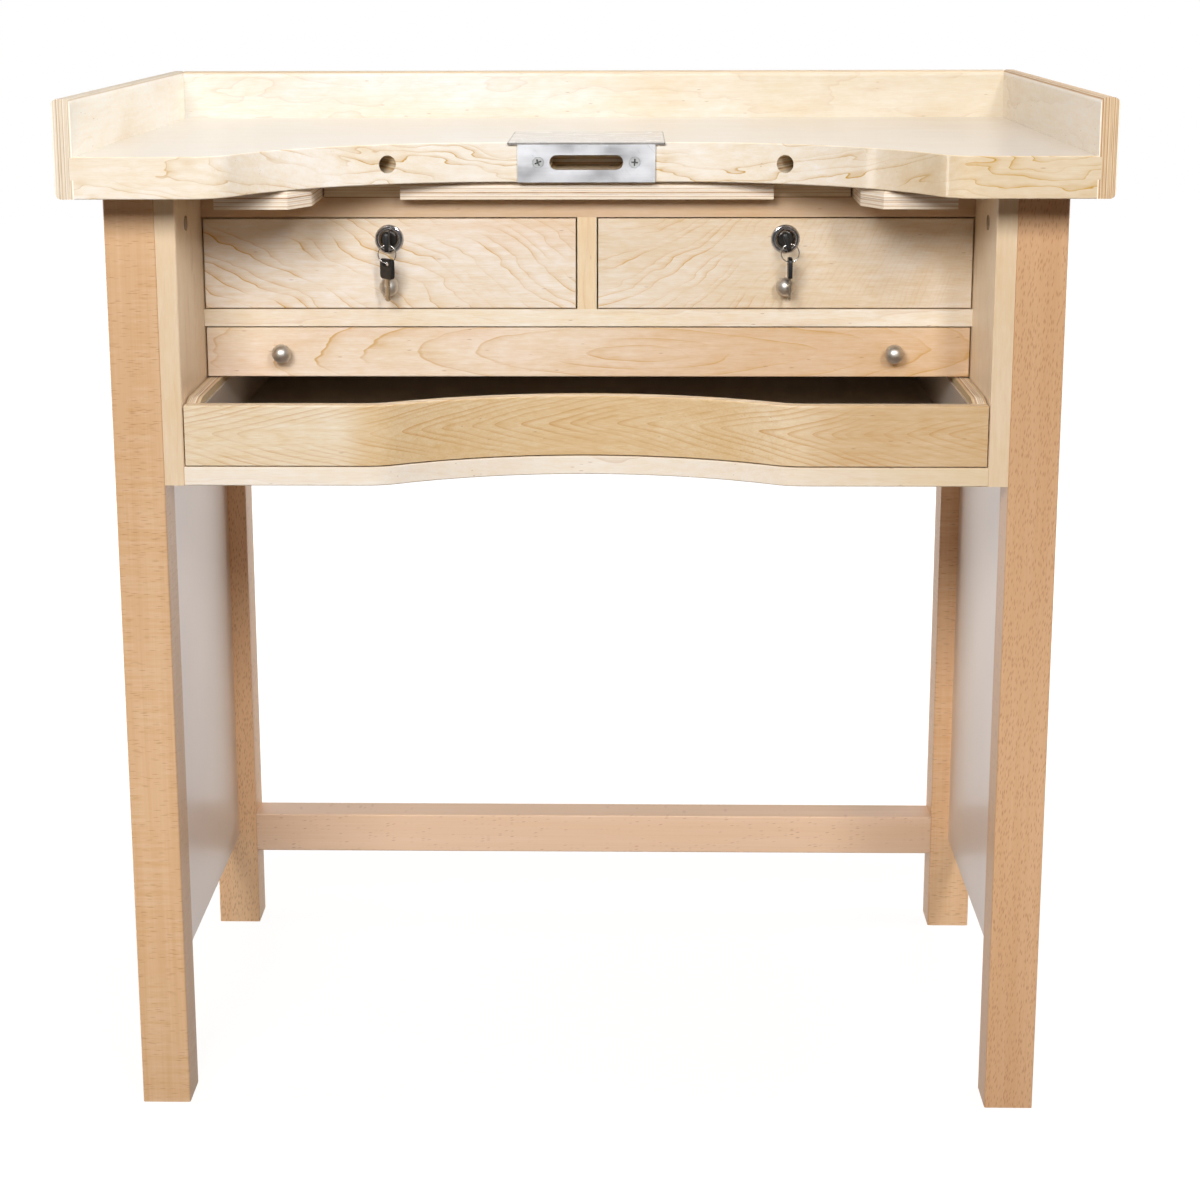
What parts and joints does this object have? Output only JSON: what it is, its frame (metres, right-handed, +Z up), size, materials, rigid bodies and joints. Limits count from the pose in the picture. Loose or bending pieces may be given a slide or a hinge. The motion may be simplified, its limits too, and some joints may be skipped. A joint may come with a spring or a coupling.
{
  "type": "jewelers bench",
  "caption": "Jeweller's bench with a bay-cut top, slotted bench-pin plate, sliding arm rests, lockable drawers and a pull-out filings tray.",
  "frame": {"origin": "middle of the bench's footprint, on the floor", "axes": "+X to the right of the person at the bench's front, +Y from the front to the back, +Z up"},
  "size_m": [1, 0.62, 1.054],
  "materials": {
    "beech": "clear satin lacquer on solid beech, short dark ray flecks",
    "top_veneer": "satin lacquer on birch-faced board, pale",
    "birch_ply": "satin lacquer on birch plywood, plies show on cut edges",
    "drawer_veneer": "satin lacquer, wavy contour grain",
    "tray_maple": "satin lacquer, golden diagonal grain",
    "side_panel_board": "smooth satin faced board, pale grey",
    "dowel_beech": "bare turned beech",
    "pin_plate_aluminium": "brushed, scratched in use",
    "cover_steel": "thin plate, fine satin",
    "zinc_screw": "bright zinc plate",
    "cam_zinc": "bright zinc die casting",
    "knob_nickel": "satin nickel",
    "lock_chrome": "polished chrome",
    "lock_core": "dark satin steel",
    "key_plastic": "black moulded bow on a plated steel blade",
    "ring_steel": "plated spring wire",
    "liner_metal": "plain folded sheet, dulled by use"
  },
  "bodies": {
    "bench_frame": {"back_board": "birch_ply", "bench_top": "top_veneer", "cabinet_back": "birch_ply", "cabinet_bottom_board": "birch_ply", "cabinet_top_panel": "birch_ply", "cam_fittings": "cam_zinc", "drawer_divider": "birch_ply", "drawer_runners": "birch_ply", "drawer_shelf": "birch_ply", "frame_dowels": "dowel_beech", "front_left_leg": "beech", "front_plate_screws": "zinc_screw", "front_right_leg": "beech", "inner_guides": "birch_ply", "left_cabinet_side": "birch_ply", "left_side_board": "birch_ply", "left_side_panel": "side_panel_board", "outer_guides": "birch_ply", "pin_front_plate": "pin_plate_aluminium", "pin_top_plate": "cover_steel", "rear_left_leg": "beech", "rear_right_leg": "beech", "rear_stretcher": "beech", "right_cabinet_side": "birch_ply", "right_side_board": "birch_ply", "right_side_panel": "side_panel_board", "top_plate_screws": "zinc_screw"},
    "left_arm_rest": {"left_arm_rest": "birch_ply"},
    "right_arm_rest": {"right_arm_rest": "birch_ply"},
    "pull_out_board": {"pull_out_board": "birch_ply"},
    "wide_drawer": {"wide_drawer_front": "drawer_veneer", "wide_drawer_sides": "birch_ply", "wide_drawer_back": "birch_ply", "wide_drawer_bottom": "birch_ply", "wide_drawer_knobs": "knob_nickel"},
    "tray": {"tray_front": "tray_maple", "tray_sides": "birch_ply", "tray_back": "birch_ply", "tray_bottom": "birch_ply", "tray_liner": "liner_metal"},
    "left_drawer": {"left_drawer_front": "drawer_veneer", "left_drawer_sides": "birch_ply", "left_drawer_back": "birch_ply", "left_drawer_bottom": "birch_ply", "left_drawer_knob": "knob_nickel", "left_lock_housing": "lock_chrome"},
    "left_lock_core": {"left_lock_plug": "lock_core", "left_key": "key_plastic"},
    "left_ring": {"left_key_ring": "ring_steel"},
    "left_spare": {"left_spare_key": "key_plastic"},
    "right_drawer": {"right_drawer_front": "drawer_veneer", "right_drawer_sides": "birch_ply", "right_drawer_back": "birch_ply", "right_drawer_bottom": "birch_ply", "right_drawer_knob": "knob_nickel", "right_lock_housing": "lock_chrome"},
    "right_lock_core": {"right_lock_plug": "lock_core", "right_key": "key_plastic"},
    "right_ring": {"right_key_ring": "ring_steel"},
    "right_spare": {"right_spare_key": "key_plastic"}
  },
  "joints": [
    {"name": "left_arm_rest_slide", "type": "slide", "parent": "bench_frame", "child": "left_arm_rest", "axis": [0, -1, 0], "range_m": [0, 0.22]},
    {"name": "right_arm_rest_slide", "type": "slide", "parent": "bench_frame", "child": "right_arm_rest", "axis": [0, -1, 0], "range_m": [0, 0.22]},
    {"name": "pull_out_board_slide", "type": "slide", "parent": "bench_frame", "child": "pull_out_board", "axis": [0, -1, 0], "range_m": [0, 0.25]},
    {"name": "left_drawer_slide", "type": "slide", "parent": "bench_frame", "child": "left_drawer", "axis": [0, -1, 0], "range_m": [0, 0.3]},
    {"name": "right_drawer_slide", "type": "slide", "parent": "bench_frame", "child": "right_drawer", "axis": [0, -1, 0], "range_m": [0, 0.3]},
    {"name": "wide_drawer_slide", "type": "slide", "parent": "bench_frame", "child": "wide_drawer", "axis": [0, -1, 0], "range_m": [0, 0.3]},
    {"name": "tray_slide", "type": "slide", "parent": "bench_frame", "child": "tray", "axis": [0, -1, 0], "range_m": [0, 0.4]},
    {"name": "left_lock_turn", "type": "hinge", "parent": "left_drawer", "child": "left_lock_core", "pos_m": [-0.205, -0.093, 0.8989], "axis": [0, -1, 0], "range_deg": [0, 90]},
    {"name": "left_ring_swing", "type": "hinge", "parent": "left_lock_core", "child": "left_ring", "pos_m": [-0.205, -0.1197, 0.89545], "axis": [-1, 0, 0], "range_deg": [0, 60]},
    {"name": "left_spare_swing", "type": "hinge", "parent": "left_ring", "child": "left_spare", "pos_m": [-0.205, -0.1197, 0.87705], "axis": [-1, 0, 0], "range_deg": [0, 40]},
    {"name": "right_lock_turn", "type": "hinge", "parent": "right_drawer", "child": "right_lock_core", "pos_m": [0.205, -0.093, 0.8989], "axis": [0, -1, 0], "range_deg": [-17, 73]},
    {"name": "right_ring_swing", "type": "hinge", "parent": "right_lock_core", "child": "right_ring", "pos_m": [0.20842, -0.1197, 0.89629], "axis": [-1, 0, 0], "range_deg": [0, 60]},
    {"name": "right_spare_swing", "type": "hinge", "parent": "right_ring", "child": "right_spare", "pos_m": [0.20842, -0.1197, 0.87789], "axis": [-1, 0, 0], "range_deg": [0, 40]}
  ]
}
